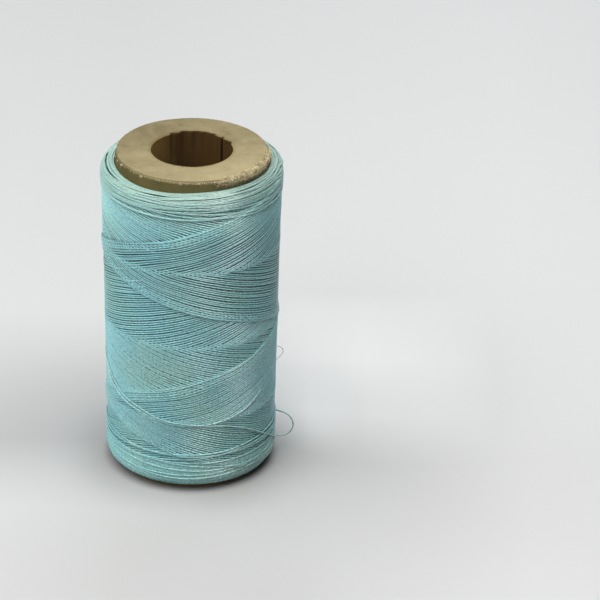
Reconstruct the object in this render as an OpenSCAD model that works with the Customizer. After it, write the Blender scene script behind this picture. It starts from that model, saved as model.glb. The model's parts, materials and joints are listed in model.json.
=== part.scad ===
// Spool of waxed sewing thread: a short paper tube with thread cross-wound round it in a
// slightly tapered package. The origin is the centre of the tube's lower end and +Z is its axis.
// Angles round the spool run from the front (-Y) towards the right (+X). Millimetres.

/* [Paper core] */
// Height of the core
core_h = 84.5; // [60:0.5:120]
// Outside diameter of the core
core_od = 38; // [30:0.5:60]
// Diameter of the core's bore, which a stand or winder spindle goes into
core_bore_d = 20; // [8:0.5:26]
// Thickness of the ply that lines the bore
liner_t = 0.8; // [0.4:0.1:1.5]
// Thickness of the ply wrapped round the outside
wrap_t = 0.6; // [0.3:0.1:1.2]
// Bevel of the wrap at both ends, where the knife rolled it over
wrap_bevel = 0.3; // [0.1:0.1:1]
// Width of the butt seam down the liner
seam_w = 0.5; // [0.2:0.1:1.5]
// Angle of the seam round the bore
seam_angle = 135; // [0:5:355]

/* [Winding] */
// Bare core below the winding
bare_bottom = 1.5; // [1:0.1:6]
// Bare core above the winding
bare_top = 2.3; // [1:0.1:6]
// Thickness of thread on the core at the lower end, over the outermost turns
buildup_bottom = 2; // [1.8:0.1:6]
// Thickness of thread on the core at the upper end, over the outermost turns
buildup_top = 3.2; // [1.8:0.1:6]
// Height in which the winding rounds in to the core at its lower end
shoulder_bottom = 2.4; // [1:0.1:6]
// Height in which the winding rounds in to the core at its upper end
shoulder_top = 3.6; // [1:0.1:6]
// Diameter of the thread
thread_d = 0.4; // [0.3:0.05:0.5]

/* [Outer turns] */
// Loops that the outermost length of thread makes
outer_loops = 23; // [8:1:24]
// Trips up and down that 24 loops would make
round_trips = 7; // [5:2:7]
// Clear gap between two turns where they cross
cross_gap = 0.45; // [0.42:0.01:0.6]
// How far from each end of the winding a trip turns back
turn_margin = 1.4; // [0.8:0.1:4]

/* [Hidden] */
$fn = 96;

core_r = core_od / 2;
bore_r = core_bore_d / 2;
board_in_r = bore_r + liner_t;
board_out_r = core_r - wrap_t;
cut_over = 1;

winding_z0 = bare_bottom;
winding_z1 = core_h - bare_top;
shoulder_steps = 8;

// The lower turns are bedded to half their thickness in the package, and the upper turns cross
// clear above them.
lane_step = thread_d + cross_gap;
turns_t = lane_step + thread_d / 2;

// Outer turns: rings of six corners, 24 to a loop, so that crossing turns bend at the same angles
LOOP_RINGS = 24;
turn_sides = 6;
trip_z0 = winding_z0 + turn_margin;
trip_z1 = winding_z1 - turn_margin;
trip_rings = LOOP_RINGS * LOOP_RINGS / round_trips;
reverse_rings = 1;

// Loose end: [angle round the spool, height, height of its centreline above the outermost turns]
end_sides = 8;
LOOSE_ROUTE = [
  [-80, 28.2, -0.2], [-72, 27.1, 0.0], [-64, 25.5, 0.3], [-56, 23.7, 0.3], [-48, 22.4, 0.3],
  [-40, 21.6, 0.3], [-31, 20.9, 0.3], [-22, 20.0, 0.3], [-13, 19.4, 0.3], [-4, 19.1, 0.3],
  [5, 19.0, 0.3], [14, 18.9, 0.3], [23, 18.4, 0.3], [32, 17.4, 0.3], [40, 16.1, 0.3],
  [48, 14.4, 0.3], [56, 12.5, 0.3], [64, 10.6, 0.3], [72, 8.7, 0.3], [80, 6.8, 0.3],
  [86, 5.5, 0.4], [91, 4.7, 0.8], [93, 4.3, 2.5], [94, 5.0, 4.1], [94, 7.0, 4.9],
  [94, 9.2, 4.2], [95, 10.3, 2.8], [97, 10.5, 1.4], [101, 10.2, 0.5], [110, 10.0, 0.3]
];

function clamp01(x) = max(0, min(1, x));
function unit(v) = v / norm(v);
function round_spool(r, angle, z) = [r * sin(angle), -r * cos(angle), z];

// Radius of the plain package with no shoulders, and with them
function tapered_r(z) =
  core_r - turns_t + buildup_bottom
  + (buildup_top - buildup_bottom) * (z - winding_z0) / (winding_z1 - winding_z0);
function shoulder_drop(depth, height) =
  let (u = clamp01(1 - depth / height)) 1 - sqrt(1 - u * u);
function package_r(z) =
  let (lip_r = core_r + thread_d,
       drop = max(shoulder_drop(z - winding_z0, shoulder_bottom),
                  shoulder_drop(winding_z1 - z, shoulder_top)))
  tapered_r(z) - (tapered_r(z) - lip_r) * drop;

// A point of the loose end's route, from its place round the spool
function route_point(p) = round_spool(package_r(p[1]) + turns_t + p[2], p[0], p[1]);

// Where the outer turns stand at one point of a trip: the height, and the lane, which is 0 on
// the way up and 1 on the way down
function trip_share(phase) = 1 - abs(2 * phase - 1);
function eased(share, w) = share < w ? (share * share / w + w) / 2 : share;
function trip_height(phase) =
  let (w = 4 * reverse_rings / trip_rings, share = trip_share(phase))
  trip_z0 + (trip_z1 - trip_z0) * (share < 0.5 ? eased(share, w) : 1 - eased(1 - share, w));
function trip_lane(phase) =
  let (w = 2 * reverse_rings / trip_rings)
  phase > 0.25 && phase < 0.75 ? clamp01((phase - 0.5) / w + 0.5)
                               : clamp01(0.5 - ((phase < 0.5 ? phase : phase - 1)) / w);

// The outer turns end on the way down, where the loose end starts
end_phase = 1 - (LOOSE_ROUTE[0][1] - trip_z0) / (trip_z1 - trip_z0) / 2;
function turn_point(rings_left) =
  let (cycles = end_phase - rings_left / trip_rings,
       phase = cycles - floor(cycles),
       z = trip_height(phase))
  round_spool(package_r(z) + lane_step * trip_lane(phase),
              LOOSE_ROUTE[0][0] - rings_left * 360 / LOOP_RINGS, z);

// The first ring stands inside the package, and the thread comes out of it square
function turns_path() =
  let (rings = outer_loops * LOOP_RINGS,
       first = turn_point(rings),
       out = unit([first[0], first[1], 0]),
       last = route_point(LOOSE_ROUTE[0]),
       along = unit(route_point(LOOSE_ROUTE[1]) - last))
  concat([first - 2 * thread_d * out, first - thread_d * out],
         [for (i = [rings - 1:-1:1]) turn_point(i)],
         [last - thread_d * along, last]);

// A smooth line through points, with a spot about every so many millimetres
function spline_at(a, b, c, d, t) =
  (2 * b + (c - a) * t + (2 * a - 5 * b + 4 * c - d) * t * t
   + (3 * b - a - 3 * c + d) * t * t * t) / 2;
function smooth_path(p, step) = [
  for (i = [0:len(p) - 2])
    let (a = p[max(i - 1, 0)], d = p[min(i + 2, len(p) - 1)],
         n = ceil(norm(p[i + 1] - p[i]) / step))
    for (k = [0:n - 1]) spline_at(a, p[i], p[i + 1], d, k / n),
  p[len(p) - 1]
];
function path_length(p) = [for (i = [1:len(p) - 1]) norm(p[i] - p[i - 1])] * [for (i = [1:len(p) - 1]) 1];

// A closed tube of triangles along a path
function directions(p) = [
  for (i = [0:len(p) - 1]) unit(p[min(i + 1, len(p) - 1)] - p[max(i - 1, 0)])
];
function square_to(v, t) = unit(v - (v * t) * t);
module tube(path, d, sides) {
  t = directions(path);
  last = len(path) - 1;
  side_ways = [
    for (i = 0, n = square_to([0, 0, 1], t[0]); i <= last; i = i + 1,
         n = i <= last ? square_to(n, t[i]) : n) n
  ];
  corners = [
    for (i = [0:last]) for (k = [0:sides - 1])
      path[i] + d / 2 * (cos(360 * k / sides) * side_ways[i]
                         + sin(360 * k / sides) * cross(t[i], side_ways[i]))
  ];
  walls = [
    for (i = [0:last - 1]) for (k = [0:sides - 1])
      let (a = i * sides + k, b = i * sides + (k + 1) % sides)
      each [[a, a + sides, b], [b, a + sides, b + sides]]
  ];
  caps = [
    for (k = [1:sides - 2])
      each [[0, k, k + 1], [last * sides, last * sides + k + 1, last * sides + k]]
  ];
  polyhedron(points = corners, faces = concat(walls, caps));
}

// Least distance between two straight stretches, a to b and c to d
function stretch_gap(a, b, c, d) =
  let (u = b - a, v = d - c, w = a - c,
       uu = u * u, uv = u * v, vv = v * v, uw = u * w, vw = v * w,
       den = uu * vv - uv * uv,
       s = den > 0.000001 ? clamp01((uv * vw - vv * uw) / den) : 0,
       t = clamp01((uv * s + vw) / vv),
       s2 = clamp01((uv * t - uw) / uu))
  norm(w + s2 * u - t * v);

// Least gap of a winding to itself. Only stretches on the same side of the spool can be close,
// and those lie whole loops apart, give or take two rings.
function least_gap(p, d) = min([
  for (i = [0:len(p) - 2]) for (j = [i + LOOP_RINGS - 2:LOOP_RINGS:len(p) - 2])
    for (k = [j:min(j + 4, len(p) - 2)]) stretch_gap(p[i], p[i + 1], p[k], p[k + 1])
]) - d;

module ring(r_in, r_out, z0, z1) {
  translate([0, 0, z0]) difference() {
    cylinder(r = r_out, h = z1 - z0);
    translate([0, 0, -cut_over]) cylinder(r = r_in, h = z1 - z0 + 2 * cut_over);
  }
}

// Inner ply, butted along one seam
module core_liner() {
  color("#5c4a33") difference() {
    ring(bore_r, board_in_r, 0, core_h);
    rotate(seam_angle - 90) translate([bore_r - cut_over, -seam_w / 2, -cut_over])
      cube([liner_t + 2 * cut_over, seam_w, core_h + 2 * cut_over]);
  }
}

// Board plies, glued into one stiff tube
module core_board() {
  color("#b0a680") ring(board_in_r, board_out_r, 0, core_h);
}

// Outer ply, its edges rolled over at both ends
module core_wrap() {
  color("#7d7147") rotate_extrude() polygon([
    [board_out_r, wrap_bevel], [core_r, 2 * wrap_bevel],
    [core_r, core_h - 2 * wrap_bevel], [board_out_r, core_h - wrap_bevel]
  ]);
}

// First layer of turns, laid straight on the core to grip it, inside the package
module first_layer() {
  color("#6fb0b4") ring(core_r, core_r + thread_d, winding_z0 + thread_d, winding_z1 - thread_d);
}

// The wound thread between the first layer and the outermost turns
module thread_package() {
  bottom_arc = [
    for (i = [0:shoulder_steps])
      let (z = winding_z0 + shoulder_bottom * (1 - cos(90 * i / shoulder_steps)))
      [package_r(z), z]
  ];
  top_arc = [
    for (i = [shoulder_steps:-1:0])
      let (z = winding_z1 - shoulder_top * (1 - cos(90 * i / shoulder_steps)))
      [package_r(z), z]
  ];
  color("#7fb6bb") difference() {
    rotate_extrude() polygon(concat([[core_r, winding_z0]], bottom_arc, top_arc,
                                    [[core_r, winding_z1]]));
    ring(core_r - cut_over, core_r + thread_d, winding_z0 + thread_d, winding_z1 - thread_d);
  }
}

// The outermost length of thread: one unbroken tube that climbs and comes back, over and over
module outer_turns() {
  path = turns_path();
  echo(str("outer turns: least gap to themselves ", least_gap(path, thread_d), " mm, length ",
           path_length(path), " mm"));
  color("#9ccdd0") tube(path, thread_d, turn_sides);
}

// The free end of the thread, lying round the front and looping out at the right
module loose_end() {
  path = smooth_path([for (p = LOOSE_ROUTE) route_point(p)], 3 * thread_d);
  echo(str("loose end: length ", path_length(path), " mm in ", len(path), " rings"));
  color("#b4dcdd") tube(path, thread_d, end_sides);
}

core_liner();
core_board();
core_wrap();
first_layer();
thread_package();
outer_turns();
loose_end();
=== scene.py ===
import math
import bpy
import numpy as np
from mathutils import Matrix, Vector
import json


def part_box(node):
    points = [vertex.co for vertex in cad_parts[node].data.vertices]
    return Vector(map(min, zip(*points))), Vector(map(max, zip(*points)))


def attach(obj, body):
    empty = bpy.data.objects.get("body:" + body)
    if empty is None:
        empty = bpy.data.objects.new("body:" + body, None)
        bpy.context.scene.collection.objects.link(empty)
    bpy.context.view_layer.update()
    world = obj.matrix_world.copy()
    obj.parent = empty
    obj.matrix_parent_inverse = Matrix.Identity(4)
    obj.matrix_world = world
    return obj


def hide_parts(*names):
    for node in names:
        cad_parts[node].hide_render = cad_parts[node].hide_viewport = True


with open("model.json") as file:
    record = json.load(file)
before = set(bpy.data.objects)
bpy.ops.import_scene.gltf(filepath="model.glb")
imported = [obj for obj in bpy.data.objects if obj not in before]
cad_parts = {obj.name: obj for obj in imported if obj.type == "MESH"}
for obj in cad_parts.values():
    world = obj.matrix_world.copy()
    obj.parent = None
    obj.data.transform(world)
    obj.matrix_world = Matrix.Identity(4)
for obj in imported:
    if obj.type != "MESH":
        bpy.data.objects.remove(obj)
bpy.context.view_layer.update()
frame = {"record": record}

# Lengths are in metres. Angles run round the spool from the front (-Y) towards the right (+X),
# in radians, as in the CAD source, which gives them in degrees.
MM = 0.001
TURN = 2 * math.pi
DEGREE = TURN / 360

# ---- sizes
# What the CAD source says of the core's outer ply, the thread and the winding's outer form
WRAP_THICK = 0.6 * MM
THREAD_D = 0.4 * MM
CROSS_GAP = 0.45 * MM  # clear between the lower turns and the upper ones
BUILDUP_LOW = 2.0 * MM
BUILDUP_HIGH = 3.2 * MM
SHOULDER_LOW = 2.4 * MM
SHOULDER_HIGH = 3.6 * MM

core_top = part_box("core_board")[1].z
core_r = round(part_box("core_wrap")[1].x, 4)
board_out_r = core_r - WRAP_THICK
board_in_r = round(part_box("core_liner")[1].x, 5)
bore_mount = next(m for m in frame["record"]["mounts"] if m["name"] == "core_bore")
bore_r = bore_mount["dims"]["r_mm"] * MM
winding_low, winding_high = (corner.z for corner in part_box("thread_package"))
turns_t = THREAD_D + CROSS_GAP + THREAD_D / 2

# A route is a list of angle in degrees, height in mm and lift above the outermost turns in mm
LOOSE_ROUTE = [
    (-80, 28.2, -0.2), (-72, 27.1, 0.0), (-64, 25.5, 0.3), (-56, 23.7, 0.3), (-48, 22.4, 0.3),
    (-40, 21.6, 0.3), (-31, 20.9, 0.3), (-22, 20.0, 0.3), (-13, 19.4, 0.3), (-4, 19.1, 0.3),
    (5, 19.0, 0.3), (14, 18.9, 0.3), (23, 18.4, 0.3), (32, 17.4, 0.3), (40, 16.1, 0.3),
    (48, 14.4, 0.3), (56, 12.5, 0.3), (64, 10.6, 0.3), (72, 8.7, 0.3), (80, 6.8, 0.3),
    (86, 5.5, 0.4), (91, 4.7, 0.8), (93, 4.3, 2.5), (94, 5.0, 4.1), (94, 7.0, 4.9),
    (94, 9.2, 4.2), (95, 10.3, 2.8), (97, 10.5, 1.4), (101, 10.2, 0.5), (110, 10.0, 0.3),
]


def place(radius, angle, height):
    """The points at these radii, angles and heights."""
    return np.stack([radius * np.sin(angle), -radius * np.cos(angle),
                     height + 0 * radius * angle], -1)


def held(value):
    """value, held between 0 and 1."""
    return np.clip(value, 0, 1)


def apart(angle, centre):
    """How far angle is from centre, either way round."""
    return np.abs(np.mod(angle - centre + math.pi, TURN) - math.pi)


def window(angle, centre, reach):
    """1 at centre, easing to 0 at reach to each side."""
    off = apart(angle, centre) / reach
    return held(1 - off * off) ** 2


def near(distance, reach):
    return np.exp(-(distance / reach) ** 2)


def tapered_r(height):
    """Radius of the package under the outermost turns, with no shoulders."""
    share = (height - winding_low) / (winding_high - winding_low)
    return core_r - turns_t + BUILDUP_LOW + (BUILDUP_HIGH - BUILDUP_LOW) * share


def shoulder_drop(depth, reach):
    u = held(1 - depth / reach)
    return 1 - np.sqrt(1 - u * u)


def shoulder(height):
    """0 on the straight part of the winding, rising to 1 at its two ends."""
    return np.maximum(shoulder_drop(height - winding_low, SHOULDER_LOW),
                      shoulder_drop(winding_high - height, SHOULDER_HIGH))


def rounded(radius, height):
    """The radius of a layer that rounds in to one thread on the core at both ends."""
    return radius - (radius - core_r - THREAD_D) * shoulder(height)


def package_r(height):
    return rounded(tapered_r(height), height)


def outer_r(height):
    """Radius of the winding as seen."""
    return rounded(tapered_r(height) + turns_t, height)


# ---- camera
CAMERA_AT = (0.027074, -0.791285, 0.450943)
CAMERA_DIP = 27.2346 * DEGREE
CAMERA_ROLL = 1.0852 * DEGREE
FOCAL_PIXELS = 3571.2
PICTURE_PIXELS = 600
SENSOR = 36


def add_object(name, data):
    thing = bpy.data.objects.new(name, data)
    bpy.context.scene.collection.objects.link(thing)
    return thing


def make_camera():
    data = bpy.data.cameras.new("camera")
    data.sensor_width = SENSOR
    data.lens = SENSOR * FOCAL_PIXELS / PICTURE_PIXELS
    data.clip_start = 0.05
    data.clip_end = 20
    camera = add_object("camera", data)
    camera.matrix_world = (Matrix.Translation(CAMERA_AT)
                           @ Matrix.Rotation(math.pi / 2 - CAMERA_DIP, 4, "X")
                           @ Matrix.Rotation(CAMERA_ROLL, 4, "Z"))
    bpy.context.scene.camera = camera


make_camera()


# ---- mesh helpers
def make_mesh(name, points, faces, attributes=None):
    """A smooth-shaded piece from points and faces of any size, with attributes on its points."""
    mesh = bpy.data.meshes.new(name)
    mesh.from_pydata(np.asarray(points).tolist(), [], faces)
    mesh.polygons.foreach_set("use_smooth", [True] * len(mesh.polygons))
    for key, values in (attributes or {}).items():
        layer = mesh.attributes.new(key, "FLOAT", "POINT")
        layer.data.foreach_set("value", np.asarray(values, np.float32).ravel())
    mesh.update()
    return add_object(name, mesh)


def dress(piece, material, slot, *replaced):
    """Gives a piece its material, rides it on the spool's one body and hides the CAD nodes that it
    stands for. slot is not used."""
    piece.data.materials.append(material)
    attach(piece, "root")
    if replaced:
        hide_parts(*replaced)


def unit(v):
    return v / np.linalg.norm(v, axis=-1, keepdims=True)


def round_angles(count):
    """count even angles, once round."""
    return np.arange(count) * TURN / count


def tube_faces(rings, sides, first=0):
    """Faces of a closed tube whose rings follow each other, from point number first."""
    ring = first + np.arange(rings - 1)[:, None] * sides
    side = np.arange(sides)[None, :]
    after = (side + 1) % sides
    walls = np.stack([ring + side, ring + after, ring + sides + after, ring + sides + side], -1)
    last = first + (rings - 1) * sides
    ends = [list(range(first, first + sides))[::-1], list(range(last, last + sides))]
    return walls.reshape(-1, 4).tolist() + ends


def section_rings(centres, out, wide, thick, corners):
    """Rings of corners round centres. out is the way out of the surface that the tube lies on,
    and a corner is an angle from it."""
    along = unit(np.gradient(centres, axis=0))
    out = unit(out - (out * along).sum(-1, keepdims=True) * along)
    across = np.cross(along, out)
    outward = (np.reshape(thick, (-1, 1)) / 2 * np.cos(corners))[..., None] * out[:, None, :]
    sideways = (np.reshape(wide, (-1, 1)) / 2 * np.sin(corners))[..., None] * across[:, None, :]
    return centres[:, None, :] + outward + sideways


BAKE_ROOM = 1.06  # a row is so much longer than its share of the tube
BAKE_MARGIN = 0.12  # of a row's height, kept free above and below the tube


def add_strand_maps(piece, rings, sides, length_of_ring, girth):
    """Two UV maps for a tube: Strand holds the length along it in mm and the share of the way
    round, and OFBake lays the tube out in rows."""
    mesh = piece.data
    corner_point = np.zeros(len(mesh.loops), np.int64)
    mesh.loops.foreach_get("vertex_index", corner_point)
    walls = (rings - 1) * sides
    wall_point = corner_point[:walls * 4].reshape(-1, 4)
    ring_of = wall_point // sides
    side_of = (wall_point % sides).astype(float)
    side_of[:, 1:3] = np.where(side_of[:, 1:3] == 0, sides, side_of[:, 1:3])
    round_share = side_of / sides
    length = length_of_ring[ring_of]
    total = length_of_ring[-1]
    rows = max(1, int(math.sqrt(total / girth)))
    per_row = math.ceil((rings - 1) / rows)
    row = ring_of[:, :1] // per_row
    along_row = held((length - length_of_ring[row * per_row]) / (total / rows * BAKE_ROOM))
    up_row = (row + BAKE_MARGIN + (1 - 2 * BAKE_MARGIN) * round_share) / (rows + 1)
    for name, x, y in (("Strand", length / MM, round_share), ("OFBake", along_row, up_row)):
        values = np.zeros((len(mesh.loops), 2))
        values[:walls * 4] = np.stack([x.ravel(), y.ravel()], -1)
        mesh.uv_layers.new(name=name).data.foreach_set("uv", values.ravel())


# ---- material helpers
def new_material(name):
    material = bpy.data.materials.new(name)
    material.use_nodes = True
    tree = material.node_tree
    return material, tree, tree.nodes["Principled BSDF"]


def set_inputs(tree, node, inputs):
    """Sets a node's inputs, by name or number, each to a value or to another node's output."""
    for key, value in inputs.items():
        if isinstance(value, bpy.types.NodeSocket):
            tree.links.new(value, node.inputs[key])
        else:
            node.inputs[key].default_value = value


def add(tree, kind, inputs=None, **settings):
    """A new node of that kind."""
    node = tree.nodes.new("ShaderNode" + kind)
    for key, value in settings.items():
        setattr(node, key, value)
    set_inputs(tree, node, inputs or {})
    return node


def maths(tree, operation, a, b=0.0, clamp=False):
    return add(tree, "Math", {0: a, 1: b}, operation=operation, use_clamp=clamp).outputs[0]


def plus(tree, a, b, clamp=False):
    return maths(tree, "ADD", a, b, clamp)


def times(tree, a, b, clamp=False):
    return maths(tree, "MULTIPLY", a, b, clamp)


def mix(tree, share, a, b, blend="MIX"):
    """A mix of two colours."""
    return add(tree, "Mix", {0: share, 6: a, 7: b}, data_type="RGBA", blend_type=blend).outputs[2]


def combined(tree, x, y, z=0.0):
    return add(tree, "CombineXYZ", {"X": x, "Y": y, "Z": z}).outputs[0]


def dim(tree, colour, value):
    """A colour times a value, which may be over 1."""
    return mix(tree, 1.0, colour, combined(tree, value, value, value), "MULTIPLY")


def attribute(tree, name):
    return add(tree, "Attribute", attribute_name=name).outputs["Fac"]


def object_place(tree):
    """The place that is shaded, on the object's own axes."""
    return add(tree, "TexCoord").outputs["Object"]


def axes_of(tree, vector):
    return add(tree, "SeparateXYZ", {"Vector": vector}).outputs


def in_mm(tree, axis):
    """How far the shaded place lies along one of the object's own axes, in mm."""
    return times(tree, axes_of(tree, object_place(tree))[axis], 1 / MM)


def noise(tree, scale, detail=2.0, rough=0.5):
    inputs = {"Vector": object_place(tree), "Scale": scale, "Detail": detail, "Roughness": rough}
    return add(tree, "TexNoise", inputs).outputs["Fac"]


def span(tree, value, low, high, to_low=0.0, to_high=1.0):
    """value's range from low to high, taken to another range and held to it."""
    inputs = {0: value, 1: low, 2: high, 3: to_low, 4: to_high}
    return add(tree, "MapRange", inputs).outputs["Result"]


def product(tree, *spans):
    """The product of several spans, each given by its value and its ranges."""
    total = span(tree, *spans[0])
    for each in spans[1:]:
        total = times(tree, total, span(tree, *each))
    return total


def relief_normal(tree, height, strength, depth):
    inputs = {"Strength": strength, "Distance": depth, "Height": height}
    return add(tree, "Bump", inputs).outputs["Normal"]


def seen_by_camera(tree):
    """1 for what the camera sees, straight, mirrored or through glass, and 0 for other rays."""
    ray = add(tree, "LightPath").outputs
    return plus(tree, plus(tree, ray["Is Camera Ray"], ray["Is Glossy Ray"]),
                ray["Is Transmission Ray"], clamp=True)


def srgb(red, green, blue):
    """A colour given as it shows on a screen, 0 to 255, as Blender wants it."""
    parts = [c / 255 for c in (red, green, blue)]
    return tuple(c / 12.92 if c <= 0.04045 else ((c + 0.055) / 1.055) ** 2.4 for c in parts) + (1,)


# ---- the thread's material
PLIES = 3
PLY_RELIEF = 0.09  # of the thread's radius
TWIST_PITCH = 1.5 * MM
THREAD_AT_RIM_SHADED = srgb(126, 153, 140)  # greyer and darker where the turns lie level round the core's top: partly their colour, partly painted shade against the light from above
THREAD_SHADE = srgb(20, 74, 82)  # painted shade: the thread's colour between turns and under them

# How the thread's look changes with height: each is from and to in mm, and the values at both
RIM_SHADE_SHARE = (71.5, 81.2, 0.0, 0.9)
FOOT_TINT = (2, 10, 0.35, 0.0)
# painted light: the thread is made lighter from about 34 mm up, and again near the top
PAINTED_LIGHT_BY_HEIGHT = [(66, 75, 0.0, 0.12), (8, 26, 0.85, 0.87), (34, 46, 0.0, 0.21)]
PAINTED_SHADE_STRENGTH = [(34, 62, 0.3, 1.4), (67, 74, 1.0, 0.25)]  # of the painted shade in the gaps, in the plies' grooves and on the strands' sides


def thread_material(name, light, dark, tint, flank_shade, gloss):
    """Waxed thread: colour that varies from strand to strand, with painted light and shade:
    lighter higher up, greyer and darker at the rim, and darker where other turns bury it, in the
    grooves between its plies and on its sides. Its plies' twist and a fine fuzz are in relief."""
    material, tree, shader = new_material(name)
    height = in_mm(tree, "Z")
    cloud = times(tree, maths(tree, "SUBTRACT", noise(tree, 110.0, 3.0), 0.5), 0.9)
    shade = plus(tree, attribute(tree, "tone"), cloud)
    colour = mix(tree, span(tree, shade, -0.6, 0.6), dark, light)
    tinted = plus(tree, span(tree, noise(tree, 60.0), 0.45, 0.7, 0.0, 0.5),
                  span(tree, height, *FOOT_TINT), clamp=True)
    colour = mix(tree, tinted, colour, tint)
    # painted shade: the rim's turns are made greyer and darker, against the light that falls on
    # them from above
    colour = mix(tree, span(tree, height, *RIM_SHADE_SHARE), colour, THREAD_AT_RIM_SHADED)
    # fine flecks of tone, to which the painted light by height is added
    fleck_and_painted_light = span(tree, noise(tree, 2100.0, 1.0), 0.3, 0.7, -0.22, 0.22)
    for ranges in PAINTED_LIGHT_BY_HEIGHT:
        fleck_and_painted_light = plus(tree, fleck_and_painted_light, span(tree, height, *ranges))
    colour = dim(tree, colour, fleck_and_painted_light)

    shade_strength = product(tree, *((height, *ranges) for ranges in PAINTED_SHADE_STRENGTH))
    # painted shade where other turns bury the thread
    buried = span(tree, attribute(tree, "buried"), 0.1, 1.0, 0.0, 0.9)
    colour = mix(tree, times(tree, buried, shade_strength, clamp=True), colour, THREAD_SHADE)
    strand = axes_of(tree, add(tree, "UVMap", uv_map="Strand").outputs["UV"])
    turned = plus(tree, times(tree, strand["X"], TURN / (TWIST_PITCH / MM)),
                  times(tree, strand["Y"], PLIES * TURN))
    twist = maths(tree, "SINE", turned)
    outward = maths(tree, "COSINE", times(tree, strand["Y"], TURN))
    # painted shade in the grooves between the plies and on the strands' sides
    groove_shade = plus(tree, span(tree, twist, -1.0, 0.2, 0.28, 0.0),
                  span(tree, outward, 0.1, 0.85, flank_shade, 0.0), clamp=True)
    colour = mix(tree, times(tree, groove_shade, shade_strength, clamp=True), colour, THREAD_SHADE)
    relief = plus(tree, times(tree, twist, 0.5), noise(tree, 9000.0))
    set_inputs(tree, shader, {"Base Color": colour, "Roughness": 0.4, "IOR": 1.55,
                              "Specular IOR Level": gloss,
                              "Normal": relief_normal(tree, relief, 0.6, 0.03 * MM)})
    return material


# ---- the loose end
def smooth_line(points, step):
    """A Catmull-Rom line through points, with a spot about every step."""
    ends = np.concatenate([points[:1], points, points[-1:]])
    line = []
    for a, b, c, d in zip(ends, ends[1:], ends[2:], ends[3:]):
        count = max(1, math.ceil(np.linalg.norm(c - b) / step))
        for t in np.arange(count) / count:
            line.append((2 * b + (c - a) * t + (2 * a - 5 * b + 4 * c - d) * t * t
                         + (3 * b - a - 3 * c + d) * t ** 3) / 2)
    return np.array(line + [points[-1]])


def lengths_along(line):
    steps = np.linalg.norm(np.diff(line, axis=0), axis=1)
    return np.concatenate([[0], np.cumsum(steps)])


def route_line(route, step):
    """The line of a thread that lies on the outermost turns."""
    angle, height, up = (np.array(column, float) for column in zip(*route))
    height = height * MM
    radius = package_r(height) + turns_t + up * MM
    return smooth_line(place(radius, np.radians(angle), height), step)


def plied_thread(name, line, diameter, sides=12, tone=0.0):
    """A round thread whose plies show as a twisted, lobed section."""
    along = unit(np.gradient(line, axis=0))
    out = [unit(np.cross(along[0], (0, 0, 1.0)))]
    for t in along[1:]:
        out.append(unit(out[-1] - out[-1].dot(t) * t))
    lengths = lengths_along(line)
    corner = round_angles(sides)
    lobes = 1 + PLY_RELIEF * np.cos(PLIES * corner + TURN * lengths[:, None] / TWIST_PITCH)
    rings = section_rings(line, np.array(out), diameter, diameter, corner)
    rings = line[:, None, :] + (rings - line[:, None, :]) * lobes[..., None]
    points = rings.reshape(-1, 3)
    piece = make_mesh(name, points, tube_faces(len(line), sides),
                      {"tone": np.full(len(points), tone), "buried": np.zeros(len(points))})
    add_strand_maps(piece, len(line), sides, lengths, math.pi * diameter)
    return piece


loose_material = thread_material("loose_thread", srgb(178, 220, 220), srgb(148, 202, 204),
                                 srgb(184, 220, 212), 0.0, 0.3)
loose_line = route_line(LOOSE_ROUTE, 0.22 * MM)
free_thread = plied_thread("free_thread", loose_line, THREAD_D * 0.9, tone=0.2)
dress(free_thread, loose_material, "loose_thread", "loose_end")


# ---- how the spool was wound
# The thread climbs and comes back with the same slope while the spool turns, four turns to a
# trip up and down, and each trip lies a little behind the one before it. A few figures are
# read off the last trip, such as the heights at which it passes the front.
FRONT_UP = 30.5 * MM
FRONT_DOWN = 50.6 * MM
CLIMB = 6.54 * MM  # height gained per radian
TRIP_LOW = 2.8 * MM  # where trips turn back
TRIP_HIGH = 80.5 * MM
TURNS_PER_TRIP = 4
STRAND_WIDE = 0.42 * MM  # the thread is pressed a little flat on the package
STRAND_THICK = 0.36 * MM
STRAND_GIRTH = 1.2 * MM
LAY_STEP = 0.33 * MM  # what one layer of crossing turns adds to the radius
TIGHT_PITCH = (0.38 * MM, 0.42 * MM)
GAP_ADDS = (0.36 * MM, 0.46 * MM)
BUNCHES = (2, 2, 2, 3)
BUNCHED_ABOVE = 64 * MM  # from here down the bunches come apart more and more
EVEN_BELOW = 18 * MM  # until, here, their lines have taken up the share EVENED of the gaps
EVENED = 0.75
TOP_REACH = 0.42  # radians from where a trip turns back that its jitter reaches
LOW_REACH = 0.8
PATH_LENGTH = 1.046  # of a climbing thread, where a level one has 1
TONE_SPREAD = 0.12  # from bunch to bunch, and from trip to trip
EVEN_CELLS = 4  # the radius of a laid thread is evened out so far to both sides
TAIL = 0.12  # radians over which the last turn rises to meet the loose end
WAVE_FACTOR = 1.6  # waves are made so much larger, since they seldom add up
WINDING_PIECES = 4
rng = np.random.default_rng(20)

reach_low = CLIMB * math.pi * 2 - (FRONT_UP + FRONT_DOWN) / 2 + TRIP_LOW
reach_high = CLIMB * math.pi * TURNS_PER_TRIP - (TRIP_HIGH - TRIP_LOW) - reach_low
trip_turn = TURN * TURNS_PER_TRIP
mean_r = outer_r((winding_low + winding_high) / 2)


def trip_height(turned):
    """Height of the thread after it has turned this far on a trip: it eases round at both ends."""
    turned = np.minimum(turned, trip_turn - turned)
    to_top = trip_turn / 2 - turned
    height = TRIP_LOW - reach_low + CLIMB * turned
    height = np.where(CLIMB * turned < 2 * reach_low,
                      TRIP_LOW + (CLIMB * turned) ** 2 / (4 * reach_low), height)
    return np.where(CLIMB * to_top < 2 * reach_high,
                    TRIP_HIGH - (CLIMB * to_top) ** 2 / (4 * reach_high), height)


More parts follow.
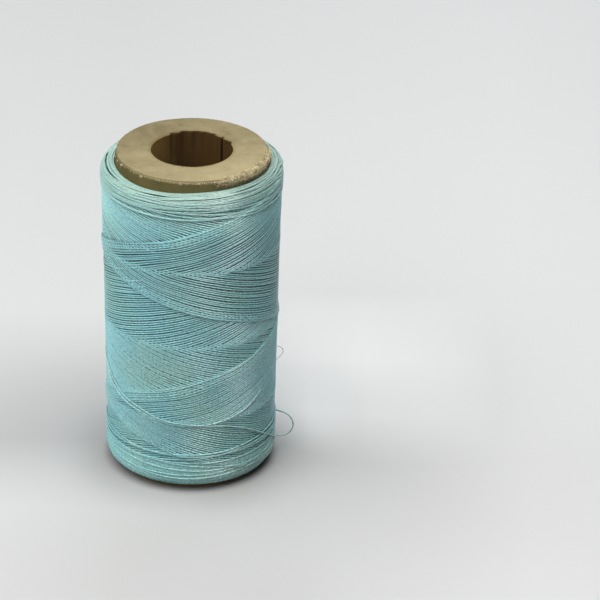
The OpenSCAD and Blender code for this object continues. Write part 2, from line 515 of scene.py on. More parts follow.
gap_per_radian = CLIMB * math.cos(math.atan(CLIMB / mean_r))
bunch_lag = (TIGHT_PITCH[1] + GAP_ADDS[0] / 2) / gap_per_radian


def trip_lags():
    """How far each trip lies behind the one before it: with the lines in bunches and a gap
    between bunches, and with the same room spread evenly over each bunch. All trips together
    go once round the spool."""
    lags, even_lags = [], []
    while sum(lags) < 1.03 * TURN:
        bunch = [rng.uniform(*TIGHT_PITCH) for _ in range(rng.choice(BUNCHES))]
        bunch[0] += rng.uniform(*GAP_ADDS)
        lags += [pitch / gap_per_radian for pitch in bunch]
        even_lags += [sum(bunch) / len(bunch) / gap_per_radian] * len(bunch)
    return np.array(lags), np.array(even_lags)


last_start = -(FRONT_UP - TRIP_LOW + reach_low) / CLIMB


def starts_from(lags):
    """Where each trip starts, counted back from the last one."""
    return last_start - np.append(np.cumsum((trip_turn - lags)[::-1])[::-1], 0)


lags, even_lags = trip_lags()
trips = len(lags)
trip_turns = np.append(trip_turn - lags, trip_turn)
trip_starts = starts_from(lags)
evening = np.append(trip_starts - starts_from(even_lags), 0)
low_jitter = rng.uniform(-0.3, 0.3, trips + 2) * MM
high_jitter = rng.uniform(-0.8, 0.5, trips + 1) * MM

# The last trip leaves the slope at the right, and flattens until it is the loose end
exit_angle = 3 * TURN + LOOSE_ROUTE[0][0] * DEGREE
exit_height = LOOSE_ROUTE[0][1] * MM
EASE_ANGLE = 2 * TURN + 90 * DEGREE
EXIT_CLIMB = -6.0 * MM


def waves(count, size, rough):
    """Random frequencies, phases and sizes for a wander of about this size."""
    sizes = size * rng.uniform(0.5, 1.0, count) / math.sqrt(count) * WAVE_FACTOR
    return rng.uniform(0.3, 1.0, count) * rough, rng.uniform(0, TURN, count), sizes


def wander_over(shape, angle, height):
    """A wander shared by all threads that pass a place on the spool."""
    return sum(size * np.sin(turns_round * angle + per_height * height + phase)
               for turns_round, per_height, phase, size in shape)


def wander_along(wave, angle):
    """A thread's own wander as it runs on."""
    return sum(size * np.sin(pace * angle + phase) for pace, phase, size in zip(*wave))


def shared_waves(count, size):
    return [(int(rng.integers(1, 7)), rng.uniform(-0.5, 0.5) / MM, rng.uniform(0, TURN),
             size * rng.uniform(0.5, 1.0) / math.sqrt(count) * WAVE_FACTOR) for _ in range(count)]


up_waves = shared_waves(6, 0.13 * MM)
down_waves = shared_waves(6, 0.13 * MM)
own_waves = waves(6, 0.03 * MM, 7.0)


def eased_exit(angle, height):
    """The last trip's height, from where it leaves the slope to where the loose end starts."""
    run = exit_angle - EASE_ANGLE
    share = held((angle - EASE_ANGLE) / run)
    eased_from = height[np.argmin(np.abs(angle - EASE_ANGLE))]
    eased = (eased_from * (1 + 2 * share) * (1 - share) ** 2
             - CLIMB * run * share * (1 - share) ** 2
             + exit_height * share ** 2 * (3 - 2 * share)
             + EXIT_CLIMB * run * share ** 2 * (share - 1))
    return np.where(angle > EASE_ANGLE, eased, height)


def thread_height(trip, angle):
    """Height of the thread of one trip at these angles, counted on from the trip's start."""
    turned = (angle - trip_starts[trip]) * trip_turn / trip_turns[trip]
    spread = held((BUNCHED_ABOVE - trip_height(turned)) / (BUNCHED_ABOVE - EVEN_BELOW))
    turned = turned + EVENED * spread * (evening[trip] + (evening[trip + 1] - evening[trip])
                                         * turned / trip_turn)
    height = trip_height(turned)
    from_end = np.minimum(turned, trip_turn - turned)
    to_top = np.abs(trip_turn / 2 - turned)
    height = height + high_jitter[trip] * near(to_top, TOP_REACH)
    height = height + low_jitter[trip] * near(turned, LOW_REACH)
    height = height + low_jitter[trip + 1] * near(trip_turn - turned, LOW_REACH)
    fade = held(np.minimum(from_end, to_top) / LOW_REACH)
    shared = np.where(turned < trip_turn / 2, wander_over(up_waves, angle, height),
                      wander_over(down_waves, angle, height))
    height = height + fade * shared + wander_along(own_waves, angle)
    return eased_exit(angle, height) if trip == trips else height


# The surface that the thread is laid on is kept as a map of its radius, a cell every 0.1 mm
CELL = 0.1 * MM
COLUMNS = 1350
TAUT = 0.05 / MM  # the thread drops beside a bump by this times its way squared
SPAN_CELLS = 25  # how far on a bump holds it up
RINGS_EVERY = 15  # steps of about one cell
LEVEL_RINGS_EVERY = 10
HALF_WIDE_CELLS = 2  # from the thread's middle to its side
END_LAYER_REACH = 9.5 * MM  # so far from its ends the winding has level turns under the trips
field_low = winding_low - 5 * CELL
rows = round((winding_high - winding_low) / CELL) + 10


def age_ramp(angle, height):
    """The step of one thread at the newest lines, evened out over the way round."""
    turned = np.linspace(0, trip_turn / 2, 2000)
    up = np.interp(height, trip_height(turned), turned)
    age_up = np.mod(angle - last_start - up, TURN) / TURN
    age_down = np.mod(angle - last_start + up, TURN) / TURN
    return LAY_STEP * (1 - age_up - age_down)


grid_angle, grid_height = np.meshgrid(TURN / COLUMNS * np.arange(COLUMNS),
                                      field_low + CELL * np.arange(rows), indexing="ij")
from_end = np.minimum(grid_height - winding_low, winding_high - grid_height)
end_layer = STRAND_THICK * held((END_LAYER_REACH - from_end) / MM)
start_surface = (outer_r(grid_height) - 2 * STRAND_THICK - end_layer
                 + age_ramp(grid_angle, grid_height))
surface = np.maximum(start_surface, core_r)
top_limit = np.maximum(outer_r(grid_height) + age_ramp(grid_angle, grid_height) + 0.1 * MM,
                       core_r + STRAND_THICK)


def field_place(angle, height):
    column = np.round(angle / (TURN / COLUMNS)).astype(int) % COLUMNS
    row = np.round((height - field_low) / CELL).astype(int)
    return column, np.clip(row, HALF_WIDE_CELLS, rows - 1 - HALF_WIDE_CELLS)


def highest(column, row, reach):
    """The surface's highest radius at these cells and so many rows up and down."""
    return np.max([surface[column, row + cells] for cells in range(-reach, reach + 1)], axis=0)


def lay_thread(angle, height, press):
    """Lays a stretch of thread on the surface, and raises the surface by it. The result is the
    radius of the thread's middle."""
    column, row = field_place(angle, height)
    under = highest(column, row, 1)
    level = under.copy()
    for cells in range(1, SPAN_CELLS):
        dip = TAUT * (cells * CELL) ** 2
        level[cells:] = np.maximum(level[cells:], under[:-cells] - dip)
        level[:-cells] = np.maximum(level[:-cells], under[cells:] - dip)
    level = np.minimum(level, top_limit[column, row] - STRAND_THICK - press)
    for cells in range(-HALF_WIDE_CELLS, HALF_WIDE_CELLS + 1):
        share = min(abs(cells) * CELL / (STRAND_WIDE / 2), 1)
        top = level + STRAND_THICK / 2 * (1 + math.sqrt(1 - share ** 2))
        np.maximum.at(surface, (column, row + cells), top)
    return level + STRAND_THICK / 2


def evened(values, reach):
    """A moving mean, with the ends kept."""
    padded = np.pad(values, reach, mode="edge")
    return np.convolve(padded, np.full(2 * reach + 1, 1 / (2 * reach + 1)), "valid")


def wind():
    """Winds the last trips one by one. The result has, for each trip, rings of angle, height,
    radius and tone."""
    wound = []
    bunch_tone = 0.0
    for trip in range(trips + 1):
        start = trip_starts[trip]
        end = exit_angle if trip == trips else start + trip_turns[trip]
        halves = [start, min(start + trip_turns[trip] / 2, end), end]
        if trip and lags[trip - 1] > bunch_lag:
            bunch_tone = rng.normal(0, TONE_SPREAD)
        tone = bunch_tone + rng.normal(0, TONE_SPREAD)
        press = rng.uniform(0, 0.05) * MM
        for begin, stop in zip(halves, halves[1:]):
            length = (stop - begin) * mean_r * PATH_LENGTH
            steps = max(4, round(length / CELL / RINGS_EVERY)) * RINGS_EVERY
            angle = np.linspace(begin, stop, steps + 1)
            height = thread_height(trip, angle)
            radius = evened(lay_thread(angle, height, press), EVEN_CELLS)
            rings = np.stack([angle, height, radius, np.full(len(angle), tone)], -1)
            wound.append(rings[::RINGS_EVERY])
    return wound


def joined(stretches):
    """One line of rings from stretches that follow each other."""
    return np.concatenate([stretches[0]] + [stretch[1:] for stretch in stretches[1:]])


# At each end the thread also lies in turns that are nearly level: a layer under the trips, a
# carpet from the core to where the trips turn, and a few loose turns over both. For each: its
# kind, whether it is at the upper end, how many turns, from how far to how far from the core
# along the winding's outline and how much they sway, in mm, and the range of their tones.
BEDDED = 0.45  # how far level turns sink in, by their thickness
LOOSE_BEDDED = 0.05
LOOSE_RISE = 0.25 * MM  # how far loose turns may stand out of the winding
NEAREST_CORE = 0.2 * MM
UPPER_SINK = 0.35 * MM  # the turns next to the core's top lie so much lower
UPPER_SINK_REACH = 4 * MM
LEAN = 1.7  # and at the front left lower still, by so many times that
LEAN_AT = -32 * DEGREE
LEAN_REACH = 48 * DEGREE
LEVEL_TURNS = {
    "upper_under_turns": ("under", True, 18, 3.4, 10.6, 0.05, (-0.5, 0.3)),
    "lower_under_turns": ("under", False, 17, 2.6, 9.6, 0.05, (-0.5, 0.3)),
    "upper_level_turns": ("beside", True, 12, 0.22, 5.8, 0.07, (-0.3, 0.6)),
    "lower_level_turns": ("beside", False, 20, 0.22, 8.0, 0.06, (0.0, 0.5)),
    "upper_loose_turns": ("over", True, 19, 0.9, 8.6, 0.4, (0.0, 0.8)),
    "lower_loose_turns": ("over", False, 9, 2.6, 12.5, 0.4, (-0.1, 0.5)),
}


def out_of_profile(height):
    """The way out of the winding's outline at these heights: across it and up it."""
    step = 0.01 * MM
    height = np.clip(height, winding_low + 2 * step, winding_high - 2 * step)
    slope = (outer_r(height + step) - outer_r(height - step)) / (2 * step)
    length = np.sqrt(1 + slope ** 2)
    return 1 / length, -slope / length


# Corners of the thread's section, as angles from its outer side, where they are closer
CORNERS = np.radians([0, 33, 66, 105, 180, 255, 294, 327])


def thread_piece(name, rings, ways=None, buried=0.0):
    """A piece of wound thread from rings of angle, height, radius and tone. ways are its ways
    out of the winding, across it and up it."""
    angle, height, radius, tone = rings.T
    centres = place(radius, angle, height)
    across_out, up_out = ways or out_of_profile(height)
    section = section_rings(centres, place(across_out, angle, up_out), STRAND_WIDE,
                            STRAND_THICK, CORNERS)
    sides = len(CORNERS)
    buried = buried + 0 * tone
    piece = make_mesh(name, section.reshape(-1, 3), tube_faces(len(rings), sides),
                      {"tone": np.repeat(tone, sides), "buried": np.repeat(buried, sides)})
    add_strand_maps(piece, len(rings), sides, lengths_along(centres), STRAND_GIRTH)
    dress(piece, wound_material, "thread", "outer_turns")


def end_outline(upper):
    """The winding's outline from the core out and along: its length so far, its radius and
    height, and the way out of it."""
    reach = SHOULDER_HIGH if upper else SHOULDER_LOW
    round_in = reach * (1 - np.cos(np.linspace(0, math.pi / 2, 80)))
    depth = np.concatenate([[0], round_in, reach + np.arange(1, 60) * 0.15 * MM])
    height = winding_high - depth if upper else winding_low + depth
    radius = outer_r(height)
    radius[0] = core_r
    length = np.append(0, np.cumsum(np.hypot(np.diff(depth), np.diff(radius))))
    across, down = np.gradient(radius, length), np.gradient(depth, length)
    return length, radius, height, down, across if upper else -across


def level_turns(name, kind, upper, count, first, last, sway, tones):
    """A thread that goes round count times, nearly level, near one end of the winding."""
    over = kind == "over"
    turns = np.linspace(0, count, count * COLUMNS + 1)
    angle = turns * TURN + rng.uniform(0, TURN)
    places = np.arange(count + 1) / count
    if over:
        places = rng.permutation(places)
    along = first + (last - first) * np.interp(turns, np.arange(count + 1), places)
    if over:
        along = evened(along, COLUMNS // 4)
    along = along * MM + wander_along(waves(5, sway * MM, 2.5), angle)
    along = np.maximum(along, NEAREST_CORE)
    length, *outline = end_outline(upper)
    radius, height, across_out, up_out = (np.interp(along, length, part) for part in outline)
    sunk = STRAND_THICK * (LOOSE_BEDDED if over else BEDDED)
    if upper:
        lean = 1 + LEAN * window(angle, LEAN_AT, LEAN_REACH)
        sunk = sunk + UPPER_SINK * lean * held(1 - along / UPPER_SINK_REACH)
    radius, height = radius - sunk * across_out, height - sunk * up_out
    laid = lay_thread(angle, height, -LOOSE_RISE if over else 0.0)
    on_side = held((across_out - 0.55) / 0.25)
    if over:
        laid = np.maximum(laid, radius - STRAND_THICK)
    radius = radius + on_side * (evened(laid, EVEN_CELLS) - radius)
    tone = np.interp(turns, np.arange(count + 1), rng.uniform(*tones, count + 1))
    rings = np.stack([angle, height, radius, tone], -1)[::LEVEL_RINGS_EVERY]
    thread_piece(name, rings, (across_out[::LEVEL_RINGS_EVERY], up_out[::LEVEL_RINGS_EVERY]))


wound_material = thread_material("wound_thread", srgb(155, 218, 222), srgb(118, 186, 194),
                                 srgb(158, 208, 190), 0.6, 0.8)
for name, settings in LEVEL_TURNS.items():
    if settings[0] == "under":
        level_turns(name, *settings)
wound = wind()
loose_start_r = np.linalg.norm(loose_line[0][:2])
tail = wound[-1]
tail_share = held(1 - (tail[-1, 0] - tail[:, 0]) / TAIL)
tail[:, 2] += tail_share * (loose_start_r - tail[:, 2])
tail[-1, 1] = loose_line[0][2]


def depth_under(rings):
    """How many threads deep the rings lie under what was laid on them."""
    column, row = field_place(rings[:, 0], rings[:, 1])
    above = highest(column, row, HALF_WIDE_CELLS)
    return np.clip((above - rings[:, 2] - STRAND_THICK / 2) / STRAND_THICK, 0, 2)


per_piece = math.ceil(len(wound) / WINDING_PIECES)
for index in range(WINDING_PIECES):
    rings = joined(wound[index * per_piece:(index + 1) * per_piece])
    thread_piece(f"wound_thread_{index + 1}", rings, buried=depth_under(rings))
for name, settings in LEVEL_TURNS.items():
    if settings[0] != "under":
        level_turns(name, *settings)


# ---- what lies under the turns
def turned_piece(name, outline, angles, roughen, closed=True, attributes=None):
    """A piece turned round the axis from an outline of radii and heights, anticlockwise.
    roughen gives how far out and up each point moves. A piece that isn't closed has two cut
    sides."""
    radius, height = (np.array(column) for column in zip(*outline))
    angle_grid = np.asarray(angles)[:, None] + 0 * radius[None, :]
    radius_grid = radius[None, :] + 0 * angle_grid
    height_grid = height[None, :] + 0 * angle_grid
    shift_out, shift_up = roughen(angle_grid, radius_grid, height_grid)
    points = place(radius_grid + shift_out, angle_grid, height_grid + shift_up)
    count, around = len(outline), len(angles)
    i = np.arange(around if closed else around - 1)[:, None]
    j = np.arange(count)[None, :]
    after_i, after_j = (i + 1) % around, (j + 1) % count
    quads = np.stack([i * count + j, after_i * count + j, after_i * count + after_j,
                      i * count + after_j], -1).reshape(-1, 4).tolist()
    if not closed:
        last = (around - 1) * count
        for k in range(count // 2 - 1 + count % 2):
            cap = list(dict.fromkeys([k, k + 1, count - 2 - k, count - 1 - k]))
            quads += [cap, [last + c for c in cap[::-1]]]
    values = {key: rule(angle_grid, radius_grid, height_grid).ravel()
              for key, rule in (attributes or {}).items()}
    return make_mesh(name, points.reshape(-1, 3), quads, values)


BODY_DEPTH = 1.9 * STRAND_THICK  # of the ground that shows between the turns, which is coloured dark as painted shade


def body_rough(angle, radius, height):
    """The ground follows the step at the newest turns, but not where it meets the core."""
    return np.where(radius > core_r + 0.04 * MM, age_ramp(angle, height), 0), 0


def buried_shade_material():
    """Thread deep between the turns, coloured dark as painted shade, the shade painted weaker near
    the foot.
    """
    material, tree, shader = new_material("buried_thread_shade")
    lines = maths(tree, "SINE", times(tree, noise(tree, 2500.0), 12.0))
    colour = mix(tree, span(tree, lines, -1, 1), THREAD_SHADE, srgb(40, 106, 114))
    foot = span(tree, in_mm(tree, "Z"), 8, 30, 0.75, 0.0)
    colour = mix(tree, foot, colour, srgb(84, 148, 154))
    set_inputs(tree, shader, {"Base Color": colour, "Roughness": 0.75})
    return material


body_height = np.linspace(winding_low + 0.3 * MM, winding_high - 1.6 * MM, 120)
body_r = np.maximum(outer_r(body_height) - BODY_DEPTH, core_r + 0.05 * MM)
body_outline = ([(core_r, body_height[0])] + list(zip(body_r, body_height))
                + [(core_r, body_height[-1])])
winding_body = turned_piece("winding_body", body_outline, round_angles(240), body_rough)
dress(winding_body, buried_shade_material(), "thread", "first_layer", "thread_package")


# ---- slack turns
SLACK_ROUTE = [
    (57, 25.0, 0.0), (50.6, 23.6, 0.25), (40.6, 21.7, 0.3), (31, 20.5, 0.3), (22.3, 19.7, 0.3),
    (14, 19.3, 0.3), (5.9, 19.3, 0.45), (-4, 19.7, 0.5), (-13, 20.0, 0.5), (-22, 20.7, 0.5),
    (-31, 21.8, 0.4), (-40, 22.7, 0.3), (-48, 23.6, 0.3), (-56, 25.0, 0.3), (-64, 27.0, 0.3),
    (-72, 28.8, 0.2), (-80, 30.2, 0.1), (-90, 31.4, -0.2),
]
SNAG_ROUTE = [
    (84, 31.5, -0.3), (88, 31.0, 0.1), (90, 30.4, 0.8), (91, 29.6, 1.5), (91, 28.6, 1.6),
    (91, 27.7, 1.1), (90, 27.2, 0.4), (88, 26.9, -0.1), (84, 26.6, -0.4),
]
slack_line = route_line(SLACK_ROUTE, 0.3 * MM)
slack_turn = plied_thread("slack_turn", slack_line, THREAD_D * 0.85, sides=10)
dress(slack_turn, loose_material, "thread")
snag_line = route_line(SNAG_ROUTE, 0.25 * MM)
snag_loop = plied_thread("snag_loop", snag_line, THREAD_D * 0.4, sides=8)
dress(snag_loop, loose_material, "thread")


# ---- the paper core
FRAY_FROM = 24 * DEGREE
FRAY_TO = 98 * DEGREE
SEAM_ANGLE = 135 * DEGREE
SEAM_WIDE = 0.75 * MM
NICK_ANGLE = 118 * DEGREE
TORN_ANGLE = 179 * DEGREE
TORN_REACH = 36 * DEGREE
WRAP_BEVEL = 0.3 * MM
FACE_STEP = 0.45 * MM
EDGE_ROUND = 0.15 * MM
JOINT_ROUND = 0.02 * MM


def spread(low, high, step):
    return np.linspace(low, high, max(2, round(abs(high - low) / step) + 1))


def ring_noise(seed, cycles, count=14):
    """A smooth random rule of angle, with cycles round the spool from the first to the second."""
    draw = np.random.default_rng(seed)
    pace = draw.integers(cycles[0], cycles[1] + 1, count)
    phase = draw.uniform(0, TURN, count)
    per_height = draw.uniform(-1500, 1500, count)

    def rule(angle, height=0.0):
        total = 0
        for k in range(count):
            total = total + np.sin(pace[k] * angle + phase[k] + height * per_height[k])
        return total / math.sqrt(count)

    return rule


def frayed(angle):
    middle = (FRAY_FROM + FRAY_TO) / 2
    return np.sqrt(window(angle, middle, (FRAY_TO - FRAY_FROM) / 2 * 1.15))


coarse_edge = ring_noise(1, (30, 160))
fine_edge = ring_noise(2, (150, 420), 20)
slow_face = ring_noise(3, (2, 9), 8)
mid_face = ring_noise(4, (10, 60))
bites = ring_noise(5, (6, 34), 8)


def near_top(height, reach):
    """1 at the top of the core, easing to 0 a little way down."""
    return held(1 - (core_top - height) / reach)


def face_relief(angle, radius):
    """How far the cut face rises and falls with its fibres, in mm."""
    return (0.045 * slow_face(angle, radius) + 0.015 * mid_face(angle, radius * 0.6)
            + 0.006 * fine_edge(angle, radius))


def board_rough(angle, radius, height):
    """The cut face waves a little, and the outer ply has come off it along the burr."""
    at_end = held(1 - np.minimum(height, core_top - height) / (0.3 * MM))
    up = face_relief(angle, radius)
    parted = 0.35 * frayed(angle) * near(board_out_r - radius, 0.25 * MM)
    bitten = bite_depth(angle, radius, height)
    up = at_end * np.where(height > core_top / 2, up - parted, 0.3 * np.abs(up)) - 0.4 * bitten
    return 0.25 * bitten * MM, up * MM


def outer_rough(angle, radius, height):
    """The outer ply's cut edge is torn into a burr on one side and a little uneven elsewhere."""
    at_top = near_top(height, 1.3 * MM)
    at_edge = held((radius - board_out_r) / (core_r - board_out_r))
    jagged = 0.6 + 0.45 * coarse_edge(angle) + 0.4 * fine_edge(angle, radius)
    burr = frayed(angle) * np.clip(jagged, 0, 2)
    ragged = 0.05 * coarse_edge(angle) + 0.05 * fine_edge(angle)
    worn = 0.2 + 0.3 * window(angle, -85 * DEGREE, 80 * DEGREE)
    worn = worn * near_top(height, 3 * MM) * (1 - frayed(angle))
    out = at_edge * (at_top ** 1.5 * (0.8 * burr + ragged) - worn)
    up = at_top * (burr * (0.15 - 0.25 * at_edge ** 2) + face_relief(angle, radius)
                   - 0.10 * at_edge * np.abs(coarse_edge(angle)))
    return out * MM, up * MM


def torn_share(angle):
    """1 where the inner ply has been torn off at the back of the rim, with uneven ends."""
    inside = TORN_REACH - apart(angle, TORN_ANGLE)
    torn = held(inside / (4 * DEGREE) + 0.5 * bites(angle))
    return torn * np.clip(0.68 + 0.4 * bites(angle + 3), 0.3, 1)


def bore_rough(angle, radius, height):
    """The inner ply's edge is torn at the back and has a nick beside the seam."""
    at_top = near_top(height, 1.6 * MM)
    inner = held((board_in_r - radius) / (board_in_r - bore_r))
    torn = torn_share(angle)
    nick = window(angle, NICK_ANGLE, 9 * DEGREE)
    ragged = 0.03 * coarse_edge(angle) + 0.02 * fine_edge(angle)
    flared = near_top(height, 9 * MM)
    out = inner * (0.74 * flared * np.maximum(torn, nick) + at_top ** 0.4 * np.abs(ragged))
    up = -at_top ** 2 * inner * 0.3 * np.maximum(torn, nick)
    return out * MM, (up + at_top * face_relief(angle, radius)) * MM


def bite_depth(angle, radius, height):
    """Board that the torn inner ply has taken with it."""
    at_top = near_top(height, 1.2 * MM)
    inner = held(1 - (radius - board_in_r) / (0.5 * MM))
    return at_top * inner * torn_share(angle) * (0.6 + 0.4 * bites(angle + 2))


def is_cut(angle, radius, height):
    """1 on the core's two cut ends, 0 on its sides."""
    outward = (radius - board_out_r) / (core_r - board_out_r)
    fall = np.where(outward > -0.01, WRAP_BEVEL * (1 + outward), 0)
    cut = np.where(np.minimum(height, core_top - height) < fall + 0.06 * MM, 1.0, 0.0)
    worn = held(outward * 1.5 - 0.1) * (1 - frayed(angle))
    return cut * (1 - worn)


def wall_levels(margin):
    """Heights on a tube's wall, this far from its ends and closer to each other there."""
    return np.concatenate([spread(margin, 4 * MM, 0.5 * MM),
                           spread(8 * MM, core_top - 6 * MM, 10 * MM),
                           spread(core_top - 4 * MM, core_top - margin, 0.2 * MM)])


def tube_outline(inner, outer, inner_round, outer_round, bevel=0.0):
    """Outline of a tube's wall, with close points at its ends. bevel takes off the outer edges."""
    across = spread(inner + inner_round, outer - outer_round, FACE_STEP / 2)
    fall = bevel * (1 + (across - inner) / (outer - inner))
    outer_edge_r, outer_edge = outer - outer_round / 3, 2 * bevel + outer_round / 3
    inner_edge_r, inner_edge = inner + inner_round / 3, bevel + inner_round / 3
    outline = list(zip(across, fall)) + [(outer_edge_r, outer_edge)]
    outline += [(outer, z) for z in wall_levels(2 * bevel + outer_round)]
    outline += [(outer_edge_r, core_top - outer_edge)] + list(zip(across, core_top - fall))[::-1]
    outline += [(inner_edge_r, core_top - inner_edge)]
    outline += [(inner, z) for z in wall_levels(bevel + inner_round)[::-1]]
    return outline + [(inner_edge_r, inner_edge)]


def face_tone(angle, radius, height):
    """The face is greyer and darker at the back left and in a patch at the back right, and lighter
    at the front right; along the burr it is darker in the parted groove, as painted shade.
    """
    dull = window(angle, 128 * DEGREE, 45 * DEGREE)
    groove_shade = frayed(angle) * near(board_out_r - radius, 0.25 * MM)
    return held(0.5 + 0.45 * np.cos(angle - 40 * DEGREE) - 0.4 * dull - groove_shade)


def bore_cut(angle, radius, height):
    """The inner ply has its cut edge where it isn't torn."""
    return is_cut(angle, radius, height) * (1 - held(2 * torn_share(angle)))


def bore_tone(angle, radius, height):
    """The bore's wall has painted light and shade: lighter on the left and darker round the rest.
    """
    on_wall = (radius < bore_r + 0.1 * MM) | (torn_share(angle) > 0.3)
    painted_light_and_shade = 1.5 * window(angle, 265 * DEGREE, 75 * DEGREE) ** 1.2 - 0.2
    return np.where(on_wall, painted_light_and_shade, face_tone(angle, radius, height))


FACE_LIGHT = srgb(162, 149, 111)
FACE_DARK = srgb(92, 80, 48)


def kraft_material(name, side_light, side_dark, gloss=0.25, patchy=0.5):
    """Grey-brown kraft board: pale, felted cut ends and smoother, darker sides, their darkness
    partly painted shade.
    """
    material, tree, shader = new_material(name)
    mottle = noise(tree, 350.0, 4.0, 0.6)
    felt = noise(tree, 2600.0, 3.0, 0.65)
    shade = plus(tree, times(tree, noise(tree, 90.0), 0.6), times(tree, felt, 0.35))
    shade = plus(tree, times(tree, mottle, 0.5), shade)
    tone = times(tree, attribute(tree, "tone"), 0.5)
    face_share, side_share = (plus(tree, span(tree, shade, 0.5, 0.95, 0.0, most), tone)
                              for most in (0.5, patchy))
    face = mix(tree, face_share, FACE_DARK, FACE_LIGHT)
    side = mix(tree, side_share, side_dark, side_light)
    burr = mix(tree, span(tree, felt, 0.4, 0.6), srgb(176, 150, 102), srgb(222, 206, 166))
    colour = mix(tree, attribute(tree, "cut"), side, face)
    colour = mix(tree, attribute(tree, "fray"), colour, burr)
    relief = plus(tree, felt, times(tree, mottle, 0.7))
    set_inputs(tree, shader, {"Base Color": colour, "Roughness": 0.7, "Specular IOR Level": gloss,
                              "Normal": relief_normal(tree, relief, 0.35, 0.05 * MM)})
    return material


def fray_share(angle, radius, height):
    """Where the torn edge shows pale fibres."""
    at_edge = held((radius - board_out_r - 0.1 * MM) / (0.4 * MM))
    jagged = held(0.5 + 0.5 * fine_edge(angle, radius) + 0.3 * coarse_edge(angle, height))
    return held(1.8 * near_top(height, 2.0 * MM) * at_edge * frayed(angle) * jagged)


def core_ply(name, slot, node, outline, angles, roughen, material, closed=True, **attributes):
    """One ply of the core, with the rules that its material reads at each point."""
    ply = turned_piece(name, tube_outline(*outline), angles, roughen, closed, attributes)
    dress(ply, material, slot, node)


# the board's sides are nearly black: painted shade, for where they show in the torn notches at the
# rim
core_ply("board_tube", "core_board_ply", "core_board",
         (board_in_r, board_out_r, JOINT_ROUND, JOINT_ROUND), round_angles(640), board_rough,
         kraft_material("board", srgb(30, 23, 13), srgb(14, 10, 6)), cut=is_cut, tone=face_tone)
# the outer ply's side colours are partly its own and partly painted shade
core_ply("outer_ply", "core_outer_ply", "core_wrap",
         (board_out_r, core_r, JOINT_ROUND, EDGE_ROUND, WRAP_BEVEL), round_angles(1280),
         outer_rough, kraft_material("outer_ply", srgb(108, 98, 56), srgb(50, 44, 20)),
         cut=is_cut, fray=fray_share, tone=face_tone)
half_seam = SEAM_WIDE / 2 / bore_r
seam_angles = np.linspace(SEAM_ANGLE + half_seam, SEAM_ANGLE + TURN - half_seam, 900)
core_ply("bore_ply", "core_bore_ply", "core_liner", (bore_r, board_in_r, EDGE_ROUND, JOINT_ROUND),
         seam_angles, bore_rough,
         kraft_material("bore_ply", srgb(194, 158, 92), srgb(70, 52, 28), 0.03, 0.12),
         closed=False, cut=bore_cut, tone=bore_tone)


def fibre_tuft(name, fibres):
    """Short, bent paper fibres, each a closed tube of five rings. A fibre is its foot, the way
    it starts out, the way it bends to, its length and its thickness."""
    points, faces, sides, rings = [], [], 4, 5
    share = np.linspace(0, 1, rings)[:, None]
    for foot, way, bend, length, thick in fibres:
        line = foot + way * length * share + bend * length * share ** 2
        taper = thick * (1 - 0.75 * share[:, 0] ** 2)
        out = np.tile(unit(np.cross(way, (0.3, 0.2, 1.0))), (rings, 1))
        faces += tube_faces(rings, sides, len(points) * rings * sides)
        points.append(section_rings(line, out, taper, taper, round_angles(sides)).reshape(-1, 3))
    return make_mesh(name, np.concatenate(points), faces)


def edge_fibres():
    """Fibres along the torn outer edge, in clumps, and sparser ones elsewhere. Each group has
    its angles, the size of its fibres in mm, how far they hang and how far in they start."""
    draw = np.random.default_rng(8)
    clumps = draw.uniform(FRAY_FROM, FRAY_TO, 40)
    burr = np.concatenate([draw.normal(a, draw.uniform(0.008, 0.03), 34) for a in clumps])
    drips = np.radians([-61, -38, -6, 7, 24])
    tufts = np.concatenate([draw.normal(a, 0.008, 10) for a in drips])
    groups = [(burr, 1.1, 0.9, 1.5),
              (draw.uniform(FRAY_FROM - 0.1, FRAY_TO, 700), 1.0, 1.3, 0.4),
              (tufts, 0.75, 1.1, 0.35),
              (draw.uniform(-80 * DEGREE, FRAY_FROM, 90), 0.3, 0.7, 0.3),
              (draw.uniform(FRAY_TO, TURN - 75 * DEGREE, 110), 0.3, 0.2, 0.3)]
    fibres = []
    for angles, size, hang, inward in groups:
        for angle in angles:
            out = place(1.0, angle, 0.0)
            around = place(1.0, angle + math.pi / 2, 0.0)
            on_face = inward > 0.5 and draw.random() < 0.6
            low = 0.1 if on_face else draw.uniform(0.2, 1.4 if inward > 0.35 else 0.7)
            from_edge = draw.uniform(0.2, inward) if on_face else 0.1
            foot = place(core_r - from_edge * MM, angle, core_top - low * MM)
            way = unit(out * draw.uniform(0.1, 1.0) + around * draw.normal(0, 0.6)
                       + np.array([0, 0, draw.uniform(-0.1, 0.8)]))
            bend = around * draw.normal(0, 0.4) - np.array([0, 0, draw.uniform(0.0, 1.2) * hang])
            fibres.append((foot, way, bend, draw.uniform(0.35, 1.0) * size * MM,
                           draw.uniform(0.05, 0.11) * MM))
    return fibres


def fibre_material():
    """Pale fibres with a few reddish ones."""
    material, tree, shader = new_material("paper_fibre")
    colour = mix(tree, span(tree, noise(tree, 900.0, 1.0), 0.35, 0.6), srgb(180, 160, 116),
                 srgb(226, 214, 176))
    colour = mix(tree, span(tree, noise(tree, 500.0, 0.0), 0.70, 0.74), colour, srgb(150, 92, 60))
    set_inputs(tree, shader, {"Base Color": colour, "Roughness": 0.85})
    return material


cut_edge_fibres = fibre_tuft("cut_edge_fibres", edge_fibres())
dress(cut_edge_fibres, fibre_material(), "core_outer_ply")


# ---- floor and light
FLOOR_HALF = 3.0
FLOOR_FOR_OTHER_RAYS = (0.25, 0.25, 0.25, 1)
PAINTED_CONTACT_SHADOWS = [(0.83, 18), (0.52, 3.8)]  # painted contact shadows: how dark at the core, and how far out in mm


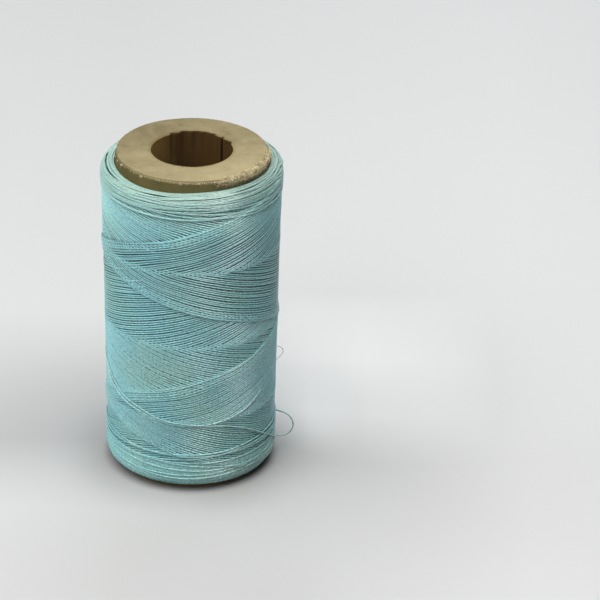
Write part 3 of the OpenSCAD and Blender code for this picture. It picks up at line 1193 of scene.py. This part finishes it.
def floor_material():
    """A pale floor, as the camera sees it, with painted light and shade: lighter to the right and
    the back, a painted shadow and a painted pool of light behind the spool, and a painted contact
    shadow round the spool's foot."""
    material, tree, shader = new_material("floor")
    east, north = in_mm(tree, "X"), in_mm(tree, "Y")
    # painted light and shade: darker in front of the spool, lighter to the right and the back
    near_colour = mix(tree, span(tree, east, -20, 20), srgb(191, 191, 191), srgb(184, 184, 184))
    near_colour = mix(tree, span(tree, east, 28, 85), near_colour, srgb(201, 201, 201))
    far_colour = mix(tree, span(tree, east, -30, 90), srgb(196, 196, 196), srgb(205, 205, 205))
    colour = mix(tree, span(tree, north, 0, 80), near_colour, far_colour)

    painted_shadow_patch = product(tree, (north, -30, 5), (north, 5, 75, 0.24, 0.0), (east, -12, 25, 1.0, 0.0))
    painted_light_patch = product(tree, (north, -5, 20), (north, 50, 90, 0.3, 0.0), (east, 0, 30),
                  (east, 45, 80, 1.0, 0.0))
    # painted light beside the spool, at the right
    beside = product(tree, (north, 0, 12), (north, 22, 45, 0.22, 0.0), (east, 10, 20),
                     (east, 30, 42, 1.0, 0.0))
    painted_patches = plus(tree, maths(tree, "SUBTRACT", 1.0, painted_shadow_patch), plus(tree, painted_light_patch, beside))
    colour = dim(tree, colour, painted_patches)
    away = add(tree, "VectorMath", {0: combined(tree, east, north)}, operation="LENGTH")
    for darker, reach in PAINTED_CONTACT_SHADOWS:
        shade = span(tree, away.outputs["Value"], core_r / MM, core_r / MM + reach, darker, 1.0)
        shade.node.interpolation_type = "SMOOTHSTEP"
        colour = dim(tree, colour, shade)
    colour = mix(tree, seen_by_camera(tree), FLOOR_FOR_OTHER_RAYS, colour)
    set_inputs(tree, shader, {"Base Color": colour, "Roughness": 0.9, "Specular IOR Level": 0.1})
    return material


corners = [(-FLOOR_HALF, -FLOOR_HALF), (FLOOR_HALF, -FLOOR_HALF), (FLOOR_HALF, FLOOR_HALF),
           (-FLOOR_HALF, FLOOR_HALF)]
floor = make_mesh("floor", [(x, y, 0) for x, y in corners], [[0, 1, 2, 3]])
floor.data.materials.append(floor_material())

LIGHT_AWAY = 1.0
LIGHT_AIM = Vector((0, 0, 0.05))
# Each light's azimuth and elevation in degrees, its width, power and colour
LIGHTS = {
    "key": (-38, 51, 0.8, 8.5, (1.0, 0.995, 0.97)),
    "left": (-100, 42, 0.8, 4.8, (0.97, 0.99, 1.0)),
    "top": (40, 74, 0.5, 4.2, (1.0, 1.0, 0.98)),
    "sheen": (42, 38, 0.35, 12.5, (1.0, 1.0, 1.0)),
    "back": (166, 44, 0.6, 3.4, (0.90, 0.95, 1.0)),
}


def soft_light(name, azimuth, elevation, wide, power, colour):
    data = bpy.data.lights.new(name, "AREA")
    data.shape = "SQUARE"
    data.size = wide
    data.energy = power
    data.color = colour
    light = add_object(name, data)
    level, high = math.cos(elevation * DEGREE), math.sin(elevation * DEGREE)
    light.location = LIGHT_AWAY * place(level, azimuth * DEGREE, high)
    light.rotation_euler = (LIGHT_AIM - light.location).to_track_quat("-Z", "Y").to_euler()
    light.visible_diffuse = name != "sheen"


for name, settings in LIGHTS.items():
    soft_light(name, *settings)

WORLD_SEEN = 0.80
WORLD_LIGHT = 0.03
world = bpy.data.worlds.new("room")
world.use_nodes = True
tree = world.node_tree
strength = span(tree, seen_by_camera(tree), 0, 1, WORLD_LIGHT, WORLD_SEEN)
set_inputs(tree, tree.nodes["Background"], {"Color": (0.96, 0.98, 1.0, 1), "Strength": strength})
bpy.context.scene.world = world
bpy.context.scene.view_settings.view_transform = "Standard"
